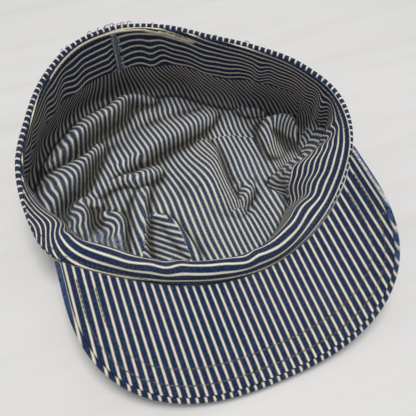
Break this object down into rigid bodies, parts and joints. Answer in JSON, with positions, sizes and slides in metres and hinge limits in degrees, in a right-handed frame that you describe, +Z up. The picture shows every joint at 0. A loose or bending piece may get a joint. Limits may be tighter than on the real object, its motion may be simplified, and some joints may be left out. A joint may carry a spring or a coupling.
{
  "type": "railroad engineer cap",
  "caption": "Soft striped cotton cap with a curved peak, lying upside down on its crown with the head opening up.",
  "frame": {"origin": "middle of the cap's footprint, on the surface that it lies on", "axes": "+Z up through the head opening, -Y towards the peak, +X to the right as seen from behind the peak looking over it at the opening"},
  "size_m": [0.2108, 0.2364, 0.0653],
  "materials": {
    "crown_cloth": "soft worn cotton twill, wrong side of a navy and cream stripe",
    "band_cloth": "worn cotton twill, navy and cream stripe, frayed at the rim",
    "sweatband_cloth": "cotton twill, navy and cream stripe along the band",
    "peak_under_cloth": "cotton twill over board, navy and cream stripe, matt",
    "peak_upper_cloth": "cotton twill over board, navy and cream stripe, matt",
    "stitch_thread": "dark grey cotton thread",
    "worn_tape": "frayed cream cotton"
  },
  "bodies": {
    "root": {"crown": "crown_cloth", "outer_band": "band_cloth", "sweatband": "sweatband_cloth", "peak_under": "peak_under_cloth", "peak_upper": "peak_upper_cloth"}
  },
  "joints": []
}
